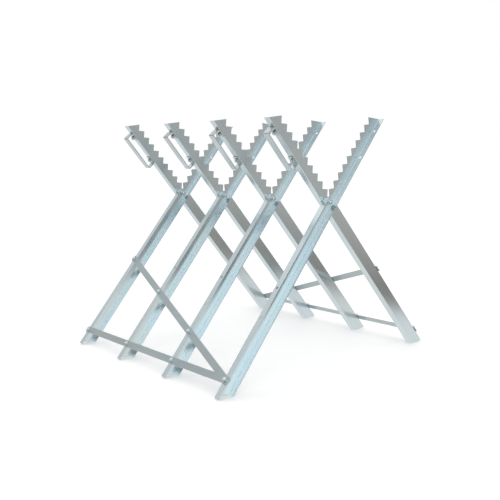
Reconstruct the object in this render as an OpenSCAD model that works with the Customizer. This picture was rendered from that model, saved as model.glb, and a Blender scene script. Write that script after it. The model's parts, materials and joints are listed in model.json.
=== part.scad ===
// Folding log sawhorse: four crossed pairs of toothed steel channel legs on hinge bolts,
// tied into a front and a back frame by strip rails and diagonal braces.
// X runs across the legs, Y along the log, Z up. The origin lies on the floor under the middle.

/* [Open frame] */
// Tilt of every leg from the vertical when the frame stands open, degrees
leg_tilt = 39.7; // [38:0.1:42]
// Height of the hinge bolts above the floor
pivot_height = 528.4; // [500:0.1:560]
// Distance from one crossed pair of legs to the next
trestle_pitch = 272; // [220:1:320]

/* [Legs] */
// Width of the web of a leg channel
web_width = 44; // [42:1:50]
// Depth of the flanges of a leg channel, over the web
flange_depth = 23; // [20:0.5:26]
// Thickness of the leg sheet
sheet = 1.5; // [1.2:0.1:2]
// Inside radius of the folds
fold_radius = 1.5; // [1:0.1:2.5]
// Distance from the hinge bolt to the long straight edge of the leg
pivot_edge = 19; // [17:0.5:21]
// Length of the upper arm, from the hinge bolt to its tip along the straight edge
arm_length = 362.2; // [350:0.1:380]
// Angle of the end cuts from square
end_cut = 33; // [28:0.5:36]
// Height of the flat worn across each pointed foot
foot_flat = 1.5; // [1:0.1:2.5]

/* [Teeth] */
// Distance from one tooth tip to the next
tooth_pitch = 33.4; // [31:0.1:34]
// Number of notches in the upper arm
tooth_count = 10; // [6:1:10]

/* [Rails and braces] */
// Width of the tie strips
strip_width = 22; // [20:1:30]
// Thickness of the tie strips
strip_thickness = 2; // [1.5:0.1:3]
// Distance from the hinge bolt down the leg to the rail's bolts
rail_drop = 645; // [620:1:655]
// Spacing of the holes down the lower leg
lower_hole_pitch = 103; // [90:1:110]
// Length of strip beyond its last bolt
strip_end = 15; // [12:1:20]

/* [Board brackets] */
// Width of the bracket strap
bracket_width = 25; // [20:1:28]
// Thickness of the bracket strap
bracket_thickness = 3; // [2:0.5:4]
// Clear depth between the leg and the strap
bracket_gap = 30; // [24:1:40]
// Distance up the arm to the middle of the bracket
bracket_centre = 252; // [240:1:260]
// Spacing of the bracket's two bolts
bracket_bolt_pitch = 112; // [100:1:116]
// Outside radius of the bracket's bends
bracket_bend = 5; // [4:0.5:12]

/* [Stops] */
// How far each stop tab reaches across to the other leg
stop_reach = 8; // [5:0.5:10]
// Clearance between a stop tab and the leg that comes to rest on it
stop_gap = 0.3; // [0.2:0.05:0.5]

/* [Fasteners] */
// Diameter of the hinge bolts
pivot_bolt = 10; // [8:1:12]
// Diameter of the strip and bracket bolts
strip_bolt = 8; // [6:1:8]

/* [Hidden] */
$fn = 48;
trestles = 4;
over = 1;                       // extra length of every cutting shape

// The legs of a pair stand back to back, half_gap either side of the plane between them.
half_gap = 0.2;
edge_back = -pivot_edge;
edge_teeth = web_width - pivot_edge;
cut_run = web_width * tan(end_cut);
foot_point = (-foot_flat - pivot_height - edge_back * sin(leg_tilt)) / cos(leg_tilt);
foot_heel = foot_point - cut_run;
tooth_top = arm_length - cut_run;
tooth_end = tooth_top - tooth_count * tooth_pitch;
fold_outer = fold_radius + sheet;
hole_depth = half_gap + flange_depth / 2;

// Clearance holes in sheet are a millimetre over the bolt.
strip_hole = strip_bolt + 1;
pivot_loose = pivot_bolt + 0.5;
pivot_running = pivot_bolt + 0.1;
nut_bore = 0.1;                 // play of a nut's bore over its bolt

// Hexagon sizes follow the usual proportions: across flats, head height and nut height.
strip_hex = 1.6 * strip_bolt;
strip_head = 0.66 * strip_bolt;
strip_nut = 0.8 * strip_bolt;
pivot_hex = 1.7 * pivot_bolt;
pivot_head = 0.64 * pivot_bolt;
pivot_nut = 0.8 * pivot_bolt;
pivot_washer = 2.4 * pivot_bolt;
washer_thickness = 2;
pivot_play = 0.3;               // gap under the bolt head's washer, so that the leg turns
thread_end = 4;                 // length of thread that shows past a nut
tip_chamfer = 1;

rail_lift_run = 72;             // rail stays lifted this far past the bolt that it shares
rail_ramp = 20;
bracket_half = bracket_bolt_pitch / 2 + 20;
bracket_foot = bracket_half - bracket_bolt_pitch / 2 + 13;
bracket_side = 0.5;             // the strap starts this far from the web's mating face
stop_start = 16;
stop_length = 4.5;

function trestle_y(i) = (i - (trestles + 1) / 2) * trestle_pitch;
function lower_hole(k) = -rail_drop + (k - 1) * lower_hole_pitch;

// The first leg's rail bolt holds the end of the brace as well.
function rail_stack(i) = i == 1 ? 2 * strip_thickness : strip_thickness;

// Places children drawn in a front leg's own frame: x up the leg from the hinge bolt,
// y towards its toothed edge, z out of the back of the web, which is towards -Y.
module in_front_leg(y = 0) {
    translate([0, y, pivot_height])
        rotate([0, leg_tilt - 90, 0])
            rotate([90, 0, 0])
                children();
}

// The back frame is the front frame turned half a turn about the vertical.
module half_turn() {
    rotate([0, 0, 180])
        children();
}

// Folded sheet seen along the leg: web at the bottom, flange at one edge or at both.
module folded_section(both) {
    right = both ? web_width - fold_outer : web_width;
    translate([edge_back, half_gap])
        difference() {
            union() {
                translate([fold_outer, 0])
                    square([right - fold_outer, flange_depth]);
                translate([0, fold_outer])
                    square([web_width, flange_depth - fold_outer]);
                translate([fold_outer, fold_outer])
                    circle(fold_outer);
                if (both)
                    translate([right, fold_outer])
                        circle(fold_outer);
            }
            translate([fold_outer, sheet])
                square([both ? right - fold_outer : web_width, flange_depth]);
            translate([sheet, fold_outer])
                square([both ? web_width - 2 * sheet : web_width, flange_depth]);
            translate([fold_outer, fold_outer])
                circle(fold_radius);
            if (both)
                translate([right, fold_outer])
                    circle(fold_radius);
        }
}

module folded_sheet(from, to, both) {
    translate([from, 0, 0])
        rotate([90, 0, 90])
            linear_extrude(to - from)
                folded_section(both);
}

// Outline of the web: square-cornered notches down the upper arm, slanted cuts at both ends.
module leg_outline() {
    notches = [for (i = [0:tooth_count - 1]) each [
        [tooth_top - (i + 0.5) * tooth_pitch, edge_teeth - tooth_pitch / 2],
        [tooth_top - (i + 1) * tooth_pitch, edge_teeth]
    ]];
    polygon(concat(
        [[foot_point, edge_back], [arm_length, edge_back], [tooth_top, edge_teeth]],
        notches,
        [[foot_heel, edge_teeth]]
    ));
}

// Hole through a flange, x up the leg.
module flange_hole(x, edge) {
    translate([x, edge - 2 * fold_outer, hole_depth])
        rotate([-90, 0, 0])
            cylinder(d = strip_hole, h = 4 * fold_outer);
}

// Tab that stands across the gap just outside the straight edge of the other leg.
module stop_tab() {
    rotate([0, 0, 2 * leg_tilt])
        translate([stop_start, pivot_edge + stop_gap, -stop_reach])
            cube([stop_length, sheet, stop_reach + half_gap + sheet / 2]);
}

module channel_leg(pivot_hole) {
    difference() {
        union() {
            intersection() {
                union() {
                    folded_sheet(foot_heel - over, tooth_end, true);
                    folded_sheet(tooth_end - sheet, arm_length + over, false);
                }
                linear_extrude(flange_depth + over)
                    leg_outline();
            }
            stop_tab();
        }
        translate([0, 0, -over])
            cylinder(d = pivot_hole, h = sheet + 2 * over);
        for (k = [1:trestles])
            flange_hole(lower_hole(k), edge_teeth);
        for (side = [-1, 1])
            flange_hole(bracket_centre + side * bracket_bolt_pitch / 2, edge_back);
    }
}

// The channel leg standing on the floor, with its pointed foot cut flat.
module standing_leg(y, pivot_hole) {
    difference() {
        in_front_leg(y)
            channel_leg(pivot_hole);
        translate([0, y, -foot_flat - over])
            linear_extrude(foot_flat + over)
                square([4 * rail_drop, 4 * flange_depth], center = true);
    }
}

module front_leg(i) {
    color("lightsteelblue")
        standing_leg(trestle_y(i), pivot_loose);
}

module back_leg(i) {
    color("silver")
        half_turn()
            standing_leg(-trestle_y(i), pivot_running);
}

// Rail along the feet, lifted over the end of the brace at the bolt that they share.
module strip_rail() {
    near = trestle_y(1) - hole_depth;
    far = trestle_y(trestles) - hole_depth;
    low = edge_teeth;
    high = edge_teeth + strip_thickness;
    lift_end = near + rail_lift_run;
    side = [
        [near - strip_end, high], [lift_end, high], [lift_end + rail_ramp, low], [far + strip_end, low],
        [far + strip_end, low + strip_thickness], [lift_end + rail_ramp, low + strip_thickness],
        [lift_end, high + strip_thickness], [near - strip_end, high + strip_thickness]
    ];
    in_front_leg()
        difference() {
            translate([-rail_drop - strip_width / 2, 0, 0])
                rotate([0, 90, 0])
                    linear_extrude(strip_width)
                        polygon(side);
            for (i = [1:trestles])
                translate([-rail_drop, low - over, hole_depth - trestle_y(i)])
                    rotate([-90, 0, 0])
                        cylinder(d = strip_hole, h = 2 * strip_thickness + 2 * over);
        }
}

// Diagonal brace: one bolt on each leg, a hole higher from one leg to the next.
module strip_brace() {
    run = (trestles - 1) * trestle_pitch;
    rise = (trestles - 1) * lower_hole_pitch;
    span = norm([run, rise]);
    in_front_leg()
        translate([0, edge_teeth + strip_thickness, 0])
            rotate([90, 0, 0])
                linear_extrude(strip_thickness)
                    difference() {
                        translate([lower_hole(1), hole_depth - trestle_y(1)])
                            rotate(atan2(-run, rise))
                                translate([-strip_end, -strip_width / 2])
                                    square([span + 2 * strip_end, strip_width]);
                        for (i = [1:trestles])
                            translate([lower_hole(i), hole_depth - trestle_y(i)])
                                circle(d = strip_hole);
                    }
}

module front_rail() {
    color("silver")
        strip_rail();
}

module back_rail() {
    color("silver")
        half_turn()
            strip_rail();
}

module front_brace() {
    color("gainsboro")
        strip_brace();
}

module back_brace() {
    color("gainsboro")
        half_turn()
            strip_brace();
}

module rounded_block(half, from, to, r) {
    translate([-half, from + r])
        square([2 * half, to - from - 2 * r]);
    translate([-half + r, from])
        square([2 * (half - r), to - from]);
    for (x = [-half + r, half - r])
        for (y = [from + r, to - r])
            translate([x, y])
                circle(r);
}

// Strap bent to a flat C, with its two feet turned in under the bolts.
module strap_outline() {
    outer = edge_back - bracket_gap - bracket_thickness;
    inner_half = bracket_half - bracket_thickness;
    translate([bracket_centre, 0])
        difference() {
            rounded_block(bracket_half, outer, edge_back, bracket_bend);
            rounded_block(inner_half, outer + bracket_thickness, edge_back - bracket_thickness,
                          bracket_bend - bracket_thickness);
            translate([bracket_foot - bracket_half, edge_back - bracket_thickness - over])
                square([2 * (bracket_half - bracket_foot), bracket_thickness + 2 * over]);
        }
}

module board_bracket(i) {
    color("lightgray")
        half_turn()
            in_front_leg(-trestle_y(i))
                difference() {
                    translate([0, 0, half_gap + bracket_side])
                        linear_extrude(bracket_width)
                            strap_outline();
                    for (side = [-1, 1])
                        translate([bracket_centre + side * bracket_bolt_pitch / 2,
                                   edge_back - bracket_thickness - over, hole_depth])
                            rotate([-90, 0, 0])
                                cylinder(d = strip_hole, h = bracket_thickness + 2 * over);
                }
}

module hexagon(across, h) {
    cylinder(d = across / cos(30), h = h, $fn = 6);
}

// Bolt with its head above z = 0 and its shank below.
module hex_bolt(d, across, head, length) {
    hexagon(across, head);
    translate([0, 0, tip_chamfer - length])
        cylinder(d = d, h = length - tip_chamfer);
    translate([0, 0, -length])
        cylinder(d1 = d - tip_chamfer, d2 = d, h = tip_chamfer);
}

module hex_nut(d, across, h) {
    difference() {
        hexagon(across, h);
        translate([0, 0, -over])
            cylinder(d = d + nut_bore, h = h + 2 * over);
    }
}

module washer(d, outside) {
    difference() {
        cylinder(d = outside, h = washer_thickness);
        translate([0, 0, -over])
            cylinder(d = d + nut_bore, h = washer_thickness + 2 * over);
    }
}

// Places a fastener drawn along z on the toothed-edge flange, z outwards from the sheet's face.
module on_outer_flange(i, k) {
    in_front_leg(trestle_y(i))
        translate([lower_hole(k), edge_teeth, hole_depth])
            rotate([-90, 0, 0])
                children();
}

// The same on the straight edge of the upper arm, at the bracket's upper or lower bolt.
module on_arm_flange(y, side) {
    in_front_leg(y)
        translate([bracket_centre + side * bracket_bolt_pitch / 2, edge_back, hole_depth])
            rotate([90, 0, 0])
                children();
}

// Bolt with its head inside the channel, out through a stack of strips of the given thickness.
module strip_bolt_through(stack) {
    translate([0, 0, -sheet])
        mirror([0, 0, 1])
            hex_bolt(strip_bolt, strip_hex, strip_head, sheet + stack + strip_nut + thread_end);
}

module strip_nut_on(stack) {
    translate([0, 0, stack])
        hex_nut(strip_bolt, strip_hex, strip_nut);
}

module rail_bolts() {
    for (i = [1:trestles])
        on_outer_flange(i, 1)
            strip_bolt_through(rail_stack(i));
}

module rail_nuts() {
    for (i = [1:trestles])
        on_outer_flange(i, 1)
            strip_nut_on(rail_stack(i));
}

module brace_bolts() {
    for (i = [2:trestles])
        on_outer_flange(i, i)
            strip_bolt_through(strip_thickness);
}

module brace_nuts() {
    for (i = [2:trestles])
        on_outer_flange(i, i)
            strip_nut_on(strip_thickness);
}

module front_rail_bolts() {
    color("gray")
        rail_bolts();
}

module front_rail_nuts() {
    color("gray")
        rail_nuts();
}

module back_rail_bolts() {
    color("gray")
        half_turn()
            rail_bolts();
}

module back_rail_nuts() {
    color("gray")
        half_turn()
            rail_nuts();
}

module front_brace_bolts() {
    color("gray")
        brace_bolts();
}

module front_brace_nuts() {
    color("gray")
        brace_nuts();
}

module back_brace_bolts() {
    color("gray")
        half_turn()
            brace_bolts();
}

module back_brace_nuts() {
    color("gray")
        half_turn()
            brace_nuts();
}

module bracket_bolts() {
    color("gray")
        half_turn()
            for (i = [1:trestles])
                for (side = [-1, 1])
                    on_arm_flange(-trestle_y(i), side)
                        strip_bolt_through(bracket_thickness);
}

module bracket_nuts() {
    color("gray")
        half_turn()
            for (i = [1:trestles])
                for (side = [-1, 1])
                    on_arm_flange(-trestle_y(i), side)
                        strip_nut_on(bracket_thickness);
}

// The hinge: head and washer behind the back leg, washer and nut on the front leg.
module pivot_bolt_at(i) {
    head_face = half_gap + sheet + pivot_play + washer_thickness;
    nut_face = half_gap + sheet + washer_thickness;
    color("gray")
        in_front_leg(trestle_y(i))
            mirror([0, 0, 1])
                translate([0, 0, head_face])
                    hex_bolt(pivot_bolt, pivot_hex, pivot_head,
                             head_face + nut_face + pivot_nut + thread_end);
}

module pivot_nuts() {
    color("gray")
        for (i = [1:trestles])
            in_front_leg(trestle_y(i))
                translate([0, 0, half_gap + sheet + washer_thickness])
                    hex_nut(pivot_bolt, pivot_hex, pivot_nut);
}

module pivot_washers() {
    color("lightgray")
        for (i = [1:trestles])
            in_front_leg(trestle_y(i)) {
                translate([0, 0, half_gap + sheet])
                    washer(pivot_bolt, pivot_washer);
                translate([0, 0, -half_gap - sheet - pivot_play - washer_thickness])
                    washer(pivot_bolt, pivot_washer);
            }
}

front_leg(1);  // front_leg_1
front_leg(2);  // front_leg_2
front_leg(3);  // front_leg_3
front_leg(4);  // front_leg_4
back_leg(1);  // back_leg_1
back_leg(2);  // back_leg_2
back_leg(3);  // back_leg_3
back_leg(4);  // back_leg_4
front_rail();
back_rail();
front_brace();
back_brace();
board_bracket(1);  // board_bracket_1
board_bracket(2);  // board_bracket_2
board_bracket(3);  // board_bracket_3
board_bracket(4);  // board_bracket_4
pivot_bolt_at(1);  // pivot_bolt_1
pivot_bolt_at(2);  // pivot_bolt_2
pivot_bolt_at(3);  // pivot_bolt_3
pivot_bolt_at(4);  // pivot_bolt_4
pivot_nuts();
pivot_washers();
front_rail_bolts();
front_rail_nuts();
back_rail_bolts();
back_rail_nuts();
front_brace_bolts();
front_brace_nuts();
back_brace_bolts();
back_brace_nuts();
bracket_bolts();
bracket_nuts();
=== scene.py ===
import json
import math

import bmesh
import bpy
from mathutils import Matrix, Vector


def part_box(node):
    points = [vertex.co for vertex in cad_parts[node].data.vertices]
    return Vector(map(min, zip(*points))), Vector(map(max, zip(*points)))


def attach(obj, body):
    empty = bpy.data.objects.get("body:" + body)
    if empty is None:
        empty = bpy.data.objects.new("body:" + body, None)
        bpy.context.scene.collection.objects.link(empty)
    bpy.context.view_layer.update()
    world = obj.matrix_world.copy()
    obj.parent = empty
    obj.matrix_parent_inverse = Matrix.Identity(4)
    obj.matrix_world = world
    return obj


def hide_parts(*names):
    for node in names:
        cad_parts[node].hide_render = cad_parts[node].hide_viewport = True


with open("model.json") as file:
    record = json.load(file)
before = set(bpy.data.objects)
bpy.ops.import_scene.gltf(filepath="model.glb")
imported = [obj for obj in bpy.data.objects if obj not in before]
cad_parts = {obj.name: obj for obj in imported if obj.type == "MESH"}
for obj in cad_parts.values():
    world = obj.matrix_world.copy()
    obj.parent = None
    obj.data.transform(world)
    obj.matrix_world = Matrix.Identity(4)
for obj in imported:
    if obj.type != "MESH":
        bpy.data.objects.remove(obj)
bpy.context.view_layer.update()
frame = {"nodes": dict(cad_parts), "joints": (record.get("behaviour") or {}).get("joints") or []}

MM = 0.001

# The frame's own facts: the hinge line comes from the joint, and the rest repeats part.scad.
PIVOT = Vector(next(j for j in frame["joints"] if j["name"] == "fold")["pos_m"])
LEG_TILT = math.radians(39.7)
TRESTLES = 4
TRESTLE_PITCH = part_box("front_leg_2")[0].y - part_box("front_leg_1")[0].y
HALF_GAP = 0.2 * MM
SHEET = 1.5 * MM
FLANGE = 23 * MM
HOLE_DEPTH = HALF_GAP + FLANGE / 2
EDGE_BACK = -19 * MM
EDGE_TEETH = 25 * MM
STRIP = 2 * MM
STRAP = 3 * MM
RAIL_DROP = 645 * MM
LOWER_HOLE_PITCH = 103 * MM
BRACKET_CENTRE = 252 * MM
BRACKET_BOLT_PITCH = 112 * MM
WASHER = 2 * MM
PIVOT_PLAY = 0.3 * MM
THREAD_END = 4 * MM

# Bolt families: diameter, thread pitch, hexagon across flats, head height, nut height.
M8 = {"d": 8 * MM, "pitch": 1.25 * MM, "across": 12.8 * MM, "head": 5.28 * MM, "nut": 6.4 * MM}
M10 = {"d": 10 * MM, "pitch": 1.5 * MM, "across": 17 * MM, "head": 6.4 * MM, "nut": 8 * MM}

# Hexagons: facets round one, and the chamfer's slope. Radii are shares of the width across flats.
HEX_STEPS = 48
CHAMFER_SLOPE = math.tan(math.radians(30))
CHAMFER_RADIUS = 0.47
DISH_RADIUS = 0.38
DISH_DEPTH = 0.25 * MM
BORE_PLAY = 0.04 * MM
BORE_CHAMFER = 0.5 * MM

# Threads: facets round one, groove depth as a share of the pitch, and the point at each end.
THREAD_STEPS = 24
GROOVE = 0.54
TIP_STEP = 0.25 * MM
TIP_STEEPNESS = 4

# Fastener edges that turn by more than this are shaded sharp.
SMOOTH_LIMIT = math.radians(35)

# Zinc textures: features per metre of each noise, and how far the streaks are drawn out.
CLOUD_SCALE = 6
BLUSH_SCALE = 2.3
FINE_SCALE = 180
STREAK_SCALE = 5
STREAK_SQUEEZE = 30
GRAIN_HEIGHT = 0.02 * MM

# Zinc finishes: base colour, the tints of its clouds and its blush, the range of its roughness, and
# how strongly the grain shows. The strap's darker base is partly painted shade.
COOL = ((0.66, 0.74, 0.76), (0.66, 0.68, 0.64))
DULL = ((0.48, 0.54, 0.55), (0.50, 0.53, 0.50))
SHEET_ZINC = {"base": (0.60, 0.69, 0.73), "tint": COOL, "roughness": (0.19, 0.27), "grain": 0.03}
STRIP_ZINC = {"base": (0.44, 0.50, 0.51), "tint": DULL, "roughness": (0.30, 0.42), "grain": 0.14}
# Darker base than the sheet's: painted shade for the darker surroundings the strap mirrors.
STRAP_ZINC_AND_SHADE = {"base": (0.54, 0.60, 0.60), "tint": COOL, "roughness": (0.26, 0.38), "grain": 0.12}
BOLT_ZINC = {"base": (0.64, 0.70, 0.72), "tint": COOL, "roughness": (0.18, 0.30), "grain": 0.06}

# Ways the steel was rolled: up the front legs, up the back legs, and along the log.
UP_FRONT = (0, math.pi / 2 - LEG_TILT, 0)
UP_BACK = (0, math.pi / 2 + LEG_TILT, 0)
ALONG = (0, 0, math.pi / 2)

# Width of the bevels that ease the edges of the CAD parts.
LEG_EASE = 0.22 * MM
BRACKET_EASE = 0.35 * MM
STRIP_EASE = 0.3 * MM
WASHER_EASE = 0.2 * MM

# The studio room seen along LEAN, from -1 at the bottom to 1 at the top: height, brightness and
# how warm the light is there.
LEAN = (0.21, 0.17, 1)
ROOM = [(-1, 1.0, 0.2), (-0.6, 0.9, 0.3), (-0.38, 0.5, 0.6), (-0.22, 0.05, 1), (-0.15, 0.06, 1),
        (-0.10, 0.58, 0.6), (-0.06, 0.68, 0.4), (0.03, 0.52, 0.1), (0.15, 0.5, -0.1),
        (0.4, 0.7, -0.1), (0.62, 0.8, 0), (1, 0.7, 0)]
WARMTH = 0.15

# The lights: where each stands, how many degrees wide it looks, its power and its colour.
KEY_LIGHT = {"towards": (-0.60, -0.74, 0.475), "angle": 48, "power": 0.62, "colour": (0.95, 0.99, 1)}
TOP_LIGHT = {"towards": (0, 0.1, 1), "angle": 90, "power": 0.6, "colour": (1, 1, 1)}

# The floor, and in its place for the metal a glowing disc that only reflections see: a painted
# reflection, darker at its rim.
FLOOR_WIDTH = 60
FLOOR_DROP = 0.2 * MM
FLOOR_WHITE = (0.90, 0.93)
FLOOR_GLOW = 0.2
REFLECTION_GLOW_REACH = 2.1
REFLECTION_GLOW_DROP = 0.4 * MM
REFLECTION_GLOW_CENTRE = (-0.52, 0.63, -REFLECTION_GLOW_DROP)
REFLECTION_GLOW_BRIGHT = 0.93
REFLECTION_GLOW_RIM = 0.1

# The camera: where it stands, which way it looks, and its lens.
CAMERA_PLACE = (-1.7127, -2.088, 0.7038)
CAMERA_HEADING = math.radians(39.617)
CAMERA_TILT = math.radians(2.044)
CAMERA_ROLL = math.radians(-0.887)
CAMERA_LENS = 54.061
CAMERA_SHIFT = -0.15


# ---------------------------------------------------------------- places

def leg_frame(y):
    """Front leg's frame: x up the leg, y towards its teeth, z out of its web, towards -Y."""
    up = Vector((math.sin(LEG_TILT), 0, math.cos(LEG_TILT)))
    across = Vector((-math.cos(LEG_TILT), 0, math.sin(LEG_TILT)))
    out = Vector((0, -1, 0))
    turn = Matrix((up, across, out)).transposed().to_4x4()
    return Matrix.Translation((PIVOT.x, y, PIVOT.z)) @ turn


def trestle_y(i):
    return (i - (TRESTLES + 1) / 2) * TRESTLE_PITCH


def half_turn():
    return Matrix.Rotation(math.pi, 4, "Z")


def flange_place(y, x, edge):
    """Frame of a bolt on a flange, its z axis pointing out of the flange's outer face."""
    outward = 1 if edge > 0 else -1
    here = Matrix.Translation((x, edge, HOLE_DEPTH))
    return leg_frame(y) @ here @ Matrix.Rotation(-outward * math.pi / 2, 4, "X")


# ---------------------------------------------------------------- fastener shapes

def new_piece(name, bm, material, body, nodes):
    """A finished mesh that rides on a body in place of these CAD nodes."""
    mesh = bpy.data.meshes.new(name)
    bm.normal_update()
    bm.to_mesh(mesh)
    bm.free()
    mesh.materials.append(material)
    piece = bpy.data.objects.new(name, mesh)
    bpy.context.collection.objects.link(piece)
    mesh.shade_smooth()
    mesh.set_sharp_from_angle(angle=SMOOTH_LIMIT)
    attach(piece, body)
    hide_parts(*nodes)


def ring(bm, points, place):
    return [bm.verts.new(place @ Vector(p)) for p in points]


def round_ring(bm, radius, z, place):
    """Circle of vertices that match a hexagon's facets."""
    angles = [2 * math.pi * k / HEX_STEPS for k in range(HEX_STEPS)]
    return ring(bm, [(radius * math.cos(a), radius * math.sin(a), z) for a in angles], place)


def bridge(bm, low, high):
    count = len(low)
    for k in range(count):
        n = (k + 1) % count
        bm.faces.new((low[k], low[n], high[n], high[k]))


def hexagon_radius(angle, across):
    """Distance from the centre of a hexagon to its side in this direction."""
    sector = math.pi / 3
    folded = (angle + sector / 2) % sector - sector / 2
    return across / 2 / math.cos(sector / 2 - abs(folded))


def hexagon_sides(bm, place, across, base, top, round_base):
    """Side faces of a hexagon whose corners are cut by a cone at the top, and at the base too
    if round_base. Returns the rings of the base circle and the top circle."""
    flat = CHAMFER_RADIUS * across
    angles = [2 * math.pi * k / HEX_STEPS for k in range(HEX_STEPS)]
    reach = [hexagon_radius(a, across) for a in angles]
    corner = [(r - flat) * CHAMFER_SLOPE for r in reach]

    def side(z, way, cut):
        return [(r * math.cos(a), r * math.sin(a), z + way * c * cut)
                for a, r, c in zip(angles, reach, corner)]

    low_side = ring(bm, side(base, 1, 1 if round_base else 0), place)
    high_side = ring(bm, side(top, -1, 1), place)
    high_circle = round_ring(bm, flat, top, place)
    bridge(bm, low_side, high_side)
    bridge(bm, high_side, high_circle)
    if not round_base:
        return low_side, high_circle
    low_circle = round_ring(bm, flat, base, place)
    bridge(bm, low_circle, low_side)
    return low_circle, high_circle


def add_head(bm, place, family):
    """Bolt head standing on z = 0, with a shallow dish in its top."""
    low, high = hexagon_sides(bm, place, family["across"], 0, family["head"], False)
    bm.faces.new(list(reversed(low)))
    inner = round_ring(bm, DISH_RADIUS * family["across"], family["head"] - DISH_DEPTH, place)
    bridge(bm, high, inner)
    bm.faces.new(inner)


def add_nut(bm, place, family):
    """Nut standing on z = 0, chamfered at both ends and round the mouths of its bore."""
    top = family["nut"]
    low, high = hexagon_sides(bm, place, family["across"], 0, top, True)
    bore = family["d"] / 2 + BORE_PLAY
    mouth = bore + BORE_CHAMFER
    inside = [(mouth, 0), (bore, BORE_CHAMFER), (bore, top - BORE_CHAMFER), (mouth, top)]
    rings = [low, *[round_ring(bm, radius, z, place) for radius, z in inside], high]
    for k in range(len(rings) - 1):
        bridge(bm, rings[k + 1], rings[k])


def add_thread(bm, place, family, length):
    """Threaded shank from z = 0 down to -length: one helix with a V groove and a pointed end."""
    steps = THREAD_STEPS
    pitch = family["pitch"]
    major = family["d"] / 2
    minor = major - GROOVE * pitch
    tip = minor - TIP_STEP
    rows = int(2 * (length + pitch) / pitch) + 4

    def point(m, k):
        """Row m is half a pitch above row m - 1: a root if m is even, a crest if it is odd."""
        z = (m / 2 + k / steps) * pitch - pitch
        z = min(max(z, 0), length)
        ends = min(tip + z, tip + (length - z) * TIP_STEEPNESS)
        r = min(major if m % 2 else minor, ends)
        a = 2 * math.pi * k / steps
        return place @ Vector((r * math.cos(a), r * math.sin(a), z - length))

    grid = [[bm.verts.new(point(m, k)) for k in range(steps)] for m in range(rows)]
    new = [v for row in grid for v in row]
    for m in range(rows - 1):
        for k in range(steps):
            n, up = (k + 1, 0) if k + 1 < steps else (0, 2)
            if m + 1 + up < rows:
                bm.faces.new((grid[m][k], grid[m + up][n], grid[m + 1 + up][n], grid[m + 1][k]))
    bmesh.ops.remove_doubles(bm, verts=new, dist=0.002 * MM)
    rims = [e for e in bm.edges if e.is_boundary]
    bmesh.ops.edgeloop_fill(bm, edges=rims)


def add_bolt(bm, place, family, length):
    add_thread(bm, place, family, length)
    add_head(bm, place, family)


# ---------------------------------------------------------------- where the fasteners go

def rail_hole(i, k):
    return flange_place(trestle_y(i), -RAIL_DROP + (k - 1) * LOWER_HOLE_PITCH, EDGE_TEETH)


def bracket_hole(i, side):
    x = BRACKET_CENTRE + side * BRACKET_BOLT_PITCH / 2
    return half_turn() @ flange_place(-trestle_y(i), x, EDGE_BACK)


def flange_bolt(bm, place, stack):
    """Bolt with its head inside the channel and its shank coming out through the stack."""
    head = place @ Matrix.Translation((0, 0, -SHEET)) @ Matrix.Rotation(math.pi, 4, "X")
    add_bolt(bm, head, M8, SHEET + stack + M8["nut"] + THREAD_END)


def flange_nut(bm, place, stack):
    add_nut(bm, place @ Matrix.Translation((0, 0, stack)), M8)


def strip_fasteners(side, body, turn, steel):
    """Bolts and nuts of one rail and its brace; trestle 1's bolt holds the ends of both."""
    sets = {"rail": [(i, 1) for i in range(1, TRESTLES + 1)],
            "brace": [(i, i) for i in range(2, TRESTLES + 1)]}
    for strip, holes in sets.items():
        bolts = bmesh.new()
        nuts = bmesh.new()
        for i, k in holes:
            place = turn @ rail_hole(i, k)
            stack = 2 * STRIP if i == 1 else STRIP
            flange_bolt(bolts, place, stack)
            flange_nut(nuts, place, stack)
        node = f"{side}_{strip}_bolts"
        new_piece(node + "_threaded", bolts, steel, body, [node])
        node = f"{side}_{strip}_nuts"
        new_piece(node + "_chamfered", nuts, steel, body, [node])


def bracket_fasteners(steel):
    bolts = bmesh.new()
    nuts = bmesh.new()
    for i in range(1, TRESTLES + 1):
        for side in (-1, 1):
            flange_bolt(bolts, bracket_hole(i, side), STRAP)
            flange_nut(nuts, bracket_hole(i, side), STRAP)
    new_piece("bracket_bolts_threaded", bolts, steel, "back_frame", ["bracket_bolts"])
    new_piece("bracket_nuts_chamfered", nuts, steel, "back_frame", ["bracket_nuts"])


def pivot_fasteners(steel):
    """Hinge bolts with their heads behind the back legs and their nuts on the front legs."""
    nut_face = HALF_GAP + SHEET + WASHER
    head_face = nut_face + PIVOT_PLAY
    length = head_face + nut_face + M10["nut"] + THREAD_END
    nuts = bmesh.new()
    for i in range(1, TRESTLES + 1):
        leg = leg_frame(trestle_y(i))
        bolt = bmesh.new()
        head = leg @ Matrix.Rotation(math.pi, 4, "X") @ Matrix.Translation((0, 0, head_face))
        add_bolt(bolt, head, M10, length)
        new_piece(f"pivot_bolt_{i}_threaded", bolt, steel, "front_frame",
                  [f"pivot_bolt_{i}"])
        add_nut(nuts, leg @ Matrix.Translation((0, 0, nut_face)), M10)
    new_piece("pivot_nuts_chamfered", nuts, steel, "front_frame", ["pivot_nuts"])


# ---------------------------------------------------------------- materials

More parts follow.
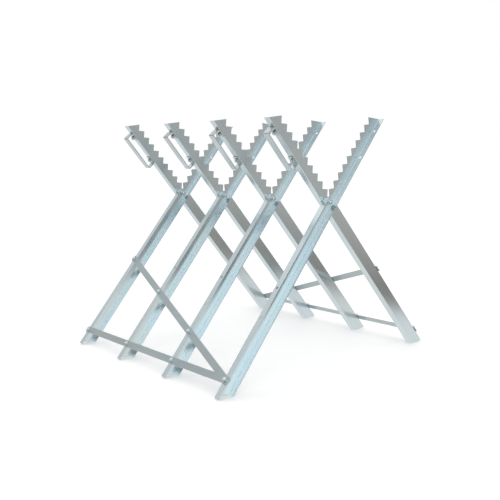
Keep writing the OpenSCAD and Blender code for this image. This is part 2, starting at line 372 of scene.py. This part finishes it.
class Nodes:
    """Short names for building the nodes of a material or a world."""

    def __init__(self, owner, shader):
        owner.use_nodes = True
        self.owner = owner
        self.tree = owner.node_tree
        self.shader = self.tree.nodes[shader]

    def add(self, kind, **values):
        node = self.tree.nodes.new(kind)
        for key, value in values.items():
            setattr(node, key, value)
        return node

    def link(self, output, target):
        self.tree.links.new(output, target)

    def ramp(self, source, stops):
        node = self.add("ShaderNodeValToRGB")
        points = node.color_ramp.elements
        while len(points) < len(stops):
            points.new(0.5)
        for point, (at, colour) in zip(points, stops):
            point.position = at
            point.color = (*colour, 1)
        self.link(source, node.inputs["Fac"])
        return node.outputs["Color"]

    def noise(self, coords, scale, detail, rough=0.5):
        node = self.add("ShaderNodeTexNoise")
        node.inputs["Scale"].default_value = scale
        node.inputs["Detail"].default_value = detail
        node.inputs["Roughness"].default_value = rough
        self.link(coords, node.inputs["Vector"])
        return node.outputs["Fac"]

    def mix(self, factor, first, second, kind="RGBA", blend="MIX"):
        node = self.add("ShaderNodeMix", data_type=kind, blend_type=blend)
        plugs = [p for p in node.inputs if p.enabled]
        for plug, value in zip(plugs, (factor, first, second)):
            if isinstance(value, bpy.types.NodeSocket):
                self.link(value, plug)
            else:
                plug.default_value = value
        return next(p for p in node.outputs if p.enabled)


def new_material(name):
    return Nodes(bpy.data.materials.new(name), "Principled BSDF")


def grey(value):
    return (value, value, value)


def zinc(name, rolled, base, tint, roughness, grain):
    """Bright zinc plate over rolled steel. The grain runs the way it was rolled; the plating's
    tint, its passivation blush and its polish all vary over the surface."""
    n = new_material(name)
    coords = n.add("ShaderNodeTexCoord").outputs["Object"]
    along = n.add("ShaderNodeMapping")
    along.inputs["Rotation"].default_value = rolled
    n.link(coords, along.inputs["Vector"])
    drawn = n.add("ShaderNodeMapping")
    drawn.inputs["Scale"].default_value = (1, STREAK_SQUEEZE, STREAK_SQUEEZE)
    n.link(along.outputs["Vector"], drawn.inputs["Vector"])

    cloud = n.noise(coords, CLOUD_SCALE, 2)
    blush = n.noise(coords, BLUSH_SCALE, 1)
    fine = n.noise(coords, FINE_SCALE, 2, 0.6)
    streak = n.noise(drawn.outputs["Vector"], STREAK_SCALE, 2, 0.7)

    plate = n.mix(n.ramp(cloud, [(0.35, grey(0)), (0.65, grey(1))]), (*base, 1), (*tint[0], 1))
    warm = n.mix(n.ramp(blush, [(0.50, grey(0)), (0.75, grey(0.6))]), plate, (*tint[1], 1))
    lines = n.ramp(streak, [(0.3, grey(0.95)), (0.7, grey(1))])
    n.link(n.mix(1.0, warm, lines, blend="MULTIPLY"), n.shader.inputs["Base Color"])
    n.shader.inputs["Metallic"].default_value = 1

    polish = n.mix(0.25, cloud, n.mix(0.5, fine, streak, kind="FLOAT"), kind="FLOAT")
    n.link(n.ramp(polish, [(0.3, grey(roughness[0])), (0.7, grey(roughness[1]))]),
           n.shader.inputs["Roughness"])

    bump = n.add("ShaderNodeBump")
    bump.inputs["Strength"].default_value = grain
    bump.inputs["Distance"].default_value = GRAIN_HEIGHT
    n.link(streak, bump.inputs["Height"])
    n.link(bump.outputs["Normal"], n.shader.inputs["Normal"])
    return n.owner


def floor_material():
    """White floor that gives off a little light, so that it stays as pale as the backdrop."""
    n = new_material("studio_floor")
    coords = n.add("ShaderNodeTexCoord").outputs["Object"]
    haze = n.noise(coords, 1.5, 2)
    white = n.ramp(haze, [(0.3, grey(FLOOR_WHITE[0])), (0.7, grey(FLOOR_WHITE[1]))])
    n.link(white, n.shader.inputs["Base Color"])
    n.shader.inputs["Roughness"].default_value = 0.6
    n.shader.inputs["Emission Color"].default_value = (1, 1, 1, 1)
    n.shader.inputs["Emission Strength"].default_value = FLOOR_GLOW
    return n.owner


def reflection_glow_material():
    """Glowing disc that only the metal's reflections see: a painted reflection, even, with painted
    darkening at its rim.
    """
    n = new_material("studio_reflection_glow")
    coords = n.add("ShaderNodeTexCoord").outputs["Object"]
    reach = n.add("ShaderNodeVectorMath", operation="LENGTH")
    n.link(coords, reach.inputs[0])
    share = n.add("ShaderNodeMath", operation="DIVIDE")
    share.inputs[1].default_value = REFLECTION_GLOW_REACH
    n.link(reach.outputs["Value"], share.inputs[0])
    # Painted reflection: even glow, fading to painted dark at the rim.
    fade = [(0.0, grey(REFLECTION_GLOW_BRIGHT)), (0.9, grey(REFLECTION_GLOW_BRIGHT)), (1.0, grey(REFLECTION_GLOW_RIM))]
    shade = n.ramp(share.outputs["Value"], fade)
    n.shader.inputs["Base Color"].default_value = (0, 0, 0, 1)
    n.shader.inputs["Roughness"].default_value = 1
    n.link(shade, n.shader.inputs["Emission Color"])
    n.shader.inputs["Emission Strength"].default_value = 1
    return n.owner


# ---------------------------------------------------------------- finish of the CAD parts

def finish_part(node, material, edge):
    """Gives a CAD node its plating and eases its sheared edges by a fraction of a millimetre."""
    part = frame["nodes"][node]
    part.data.materials.clear()
    part.data.materials.append(material)
    weld = part.modifiers.new("weld", "WELD")
    weld.merge_threshold = 0.01 * MM
    clean = part.modifiers.new("clean", "DECIMATE")
    clean.decimate_type = "DISSOLVE"
    clean.angle_limit = math.radians(0.4)
    ease = part.modifiers.new("eased_edges", "BEVEL")
    ease.width = edge
    ease.segments = 2
    ease.limit_method = "ANGLE"
    ease.angle_limit = math.radians(40)
    flat = part.modifiers.new("flat_faces", "WEIGHTED_NORMAL")
    flat.weight = 100


# ---------------------------------------------------------------- studio

def studio_floor():
    """White floor, with a round glowing disc in its place for whatever the metal mirrors: a painted
    reflection.
    """
    bpy.ops.mesh.primitive_plane_add(size=FLOOR_WIDTH, location=(0, 0, -FLOOR_DROP))
    floor = bpy.context.object
    floor.name = "studio_floor"
    floor.data.materials.append(floor_material())
    floor.visible_glossy = False

    bpy.ops.mesh.primitive_circle_add(vertices=96, radius=REFLECTION_GLOW_REACH, fill_type="NGON",
                                      location=REFLECTION_GLOW_CENTRE)
    reflection_glow = bpy.context.object
    reflection_glow.name = "studio_reflection_glow"
    reflection_glow.data.materials.append(reflection_glow_material())
    reflection_glow.visible_camera = False
    reflection_glow.visible_diffuse = False
    reflection_glow.visible_shadow = False


def room_colour(value, warmth):
    return (value * (1 + WARMTH * warmth), value, value * (1 - WARMTH * warmth))


def studio_sky():
    """White to look at; the room that lights the metal and shows in it is ROOM."""
    n = Nodes(bpy.data.worlds.new("studio"), "Background")
    rise = n.add("ShaderNodeVectorMath", operation="DOT_PRODUCT")
    rise.inputs[1].default_value = LEAN
    n.link(n.add("ShaderNodeTexCoord").outputs["Generated"], rise.inputs[0])
    height = n.add("ShaderNodeMapRange")
    height.inputs["From Min"].default_value = -1
    n.link(rise.outputs["Value"], height.inputs["Value"])
    stops = [((z + 1) / 2, room_colour(value, warmth)) for z, value, warmth in ROOM]
    room = n.ramp(height.outputs["Result"], stops)
    seen = n.add("ShaderNodeLightPath").outputs["Is Camera Ray"]
    n.link(n.mix(seen, room, (1, 1, 1, 1)), n.shader.inputs["Color"])
    bpy.context.scene.world = n.owner


def soft_sun(name, towards, angle, power, colour):
    data = bpy.data.lights.new(name, "SUN")
    data.energy = power
    data.angle = math.radians(angle)
    data.color = colour
    lamp = bpy.data.objects.new(name, data)
    lamp.rotation_euler = Vector(towards).to_track_quat("Z", "Y").to_euler()
    bpy.context.collection.objects.link(lamp)


def studio_lights():
    soft_sun("key_front", **KEY_LIGHT)
    soft_sun("top", **TOP_LIGHT)


def studio_camera():
    """Looks at the frame from the front and the left, from a little above its hinge bolts."""
    data = bpy.data.cameras.new("camera")
    data.sensor_width = 36
    data.lens = CAMERA_LENS
    data.shift_y = CAMERA_SHIFT
    camera = bpy.data.objects.new("camera", data)
    bpy.context.collection.objects.link(camera)
    aim = Matrix.Rotation(-CAMERA_HEADING, 4, "Z")
    down = Matrix.Rotation(math.pi / 2 - CAMERA_TILT, 4, "X")
    roll = Matrix.Rotation(CAMERA_ROLL, 4, "Z")
    camera.matrix_world = Matrix.Translation(CAMERA_PLACE) @ aim @ down @ roll
    bpy.context.scene.camera = camera


# ---------------------------------------------------------------- build

sheet_front = zinc("zinc_sheet_front", UP_FRONT, **SHEET_ZINC)
sheet_back = zinc("zinc_sheet_back", UP_BACK, **SHEET_ZINC)
strip_steel = zinc("zinc_strip", ALONG, **STRIP_ZINC)
strap_zinc_and_shade = zinc("zinc_strap", UP_BACK, **STRAP_ZINC_AND_SHADE)
bolt_steel = zinc("zinc_fastener", ALONG, **BOLT_ZINC)

for i in range(1, TRESTLES + 1):
    finish_part(f"front_leg_{i}", sheet_front, LEG_EASE)
    finish_part(f"back_leg_{i}", sheet_back, LEG_EASE)
    finish_part(f"board_bracket_{i}", strap_zinc_and_shade, BRACKET_EASE)
for strip in ("front_rail", "back_rail", "front_brace", "back_brace"):
    finish_part(strip, strip_steel, STRIP_EASE)
finish_part("pivot_washers", bolt_steel, WASHER_EASE)

strip_fasteners("front", "front_frame", Matrix(), bolt_steel)
strip_fasteners("back", "back_frame", half_turn(), bolt_steel)
bracket_fasteners(bolt_steel)
pivot_fasteners(bolt_steel)

studio_floor()
studio_sky()
studio_lights()
studio_camera()
bpy.context.scene.view_settings.view_transform = "Standard"
